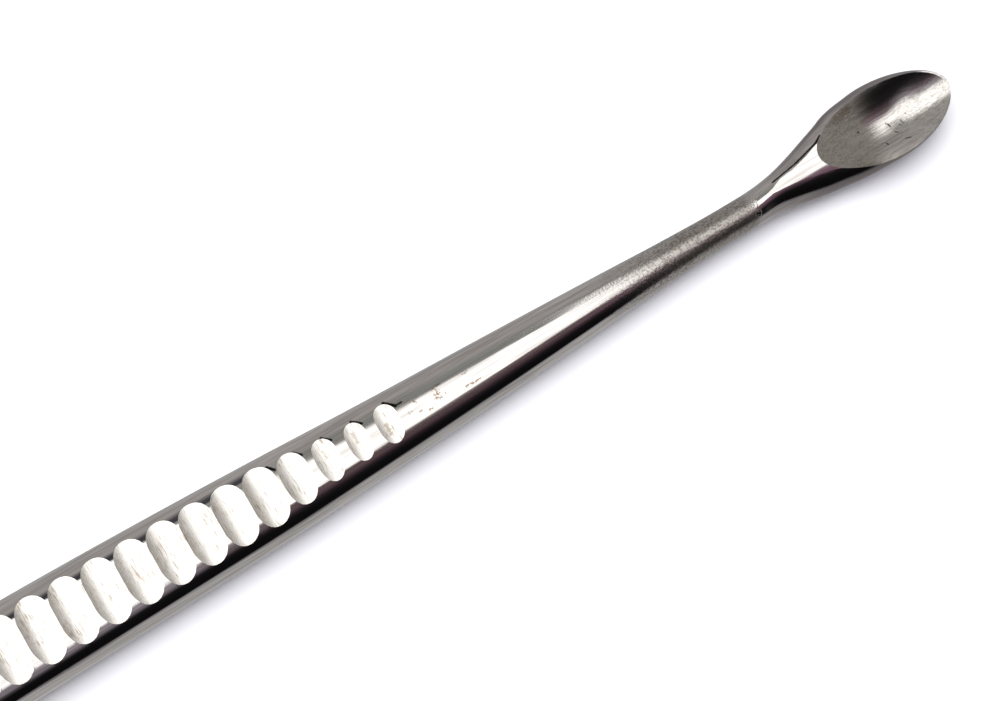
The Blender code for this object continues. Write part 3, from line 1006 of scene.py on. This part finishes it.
@dataclass(frozen=True)
class Table:
    """Pale matt paper on which the instrument lies."""

    half_size: float = 1.5
    sink: float = 0.00002
    paper: str = "#f6f7fb"
    in_steel: str = "#c6c5c4"
    glow: float = 0.12

    def build(self) -> bpy.types.Object:
        """Make the table top, white to the eye and pale grey in the steel.

        The part of the paper that the steel shows lies in the instrument's own shade,
        so glossy rays meet it darker than the camera does.
        """
        bm = bmesh.new()
        bmesh.ops.create_grid(bm, x_segments=1, y_segments=1, size=self.half_size)
        table = object_from("table", bm)
        table.location.z = -self.sink
        material = bpy.data.materials.new("matt_paper")
        t = NodeTree(material)
        camera = t.add(Kind.RAY, output="Is Camera Ray")
        glossy = t.add(Kind.RAY, output="Is Glossy Ray")
        paper = t.add(Kind.MATT, None, (linear(self.paper),))
        white = t.add(Kind.MATH, TIMES, (camera, self.glow))
        glow = t.add(Kind.GLOW, None, ((1.0, 1.0, 1.0, 1.0), white))
        lit = t.add(Kind.SUM, None, (paper, glow))
        shaded = t.add(Kind.GLOW, None, (linear(self.in_steel), 1.0))
        seen = t.add(Kind.CHOICE, None, (glossy, lit, shaded))
        t.add(Kind.SURFACE, None, (seen,))
        table.data.materials.append(material)
        LOG.info("table: %.1f m across", 2 * self.half_size)
        return table


@dataclass(frozen=True)
class Lamp:
    """Soft lamp above and on the +Y side, so that the shadow falls towards -Y."""

    place: Point = (0.02, 0.13, 0.45)
    aim: Point = (0.04, 0.0, 0.0)
    size: float = 0.36
    watts: float = 2.1
    colour: str = "#fffdf9"

    def build(self) -> bpy.types.Object:
        """Make the lamp; the window stands for it in the steel."""
        data = bpy.data.lights.new("soft_lamp", "AREA")
        data.size = self.size
        data.energy = self.watts
        data.color = linear(self.colour)[:3]
        lamp = bpy.data.objects.new("soft_lamp", data)
        lamp.location = self.place
        way = Vector(self.aim) - Vector(self.place)
        lamp.rotation_euler = way.to_track_quat("-Z", "Y").to_euler()
        lamp.visible_glossy = False
        bpy.context.scene.collection.objects.link(lamp)
        return lamp


@dataclass(frozen=True)
class Camera:
    """Camera above the grip, looking towards the spoon."""

    distance: float = 0.20
    lens: float = 87.84
    sensor: float = 36.0
    lean_back: float = math.radians(16)
    lean_side: float = math.radians(-6)
    roll: float = math.radians(30.95)
    target: Point = (0.03825, 0.00074, 0.00236)

    def build(self) -> bpy.types.Object:
        """Make the camera and look through it."""
        back = Vector((-math.sin(self.lean_back), math.sin(self.lean_side), 0.0))
        back.z = math.sqrt(1 - back.x**2 - back.y**2)
        level = Vector((1, 0, 0)) - back * back.x
        level.normalize()
        cross = back.cross(level)
        right = level * math.cos(self.roll) - cross * math.sin(self.roll)
        up = level * math.sin(self.roll) + cross * math.cos(self.roll)
        data = bpy.data.cameras.new("camera")
        data.sensor_width = self.sensor
        data.lens = self.lens
        data.clip_start = 0.01
        camera = bpy.data.objects.new("camera", data)
        camera.matrix_world = (Matrix.Translation(Vector(self.target) + back * self.distance)
                               @ Matrix((right, up, back)).transposed().to_4x4())
        bpy.context.scene.collection.objects.link(camera)
        bpy.context.scene.camera = camera
        return camera


def main() -> None:
    """Build the instrument and its stage."""
    logging.basicConfig(level=logging.INFO, format="%(name)s: %(message)s")
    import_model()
    bpy.context.scene.view_settings.view_transform = "Standard"
    Camera().build()
    Surroundings().build()
    Table().build()
    Lamp().build()
    Curette().build()


if __name__ == "__main__":
    main()
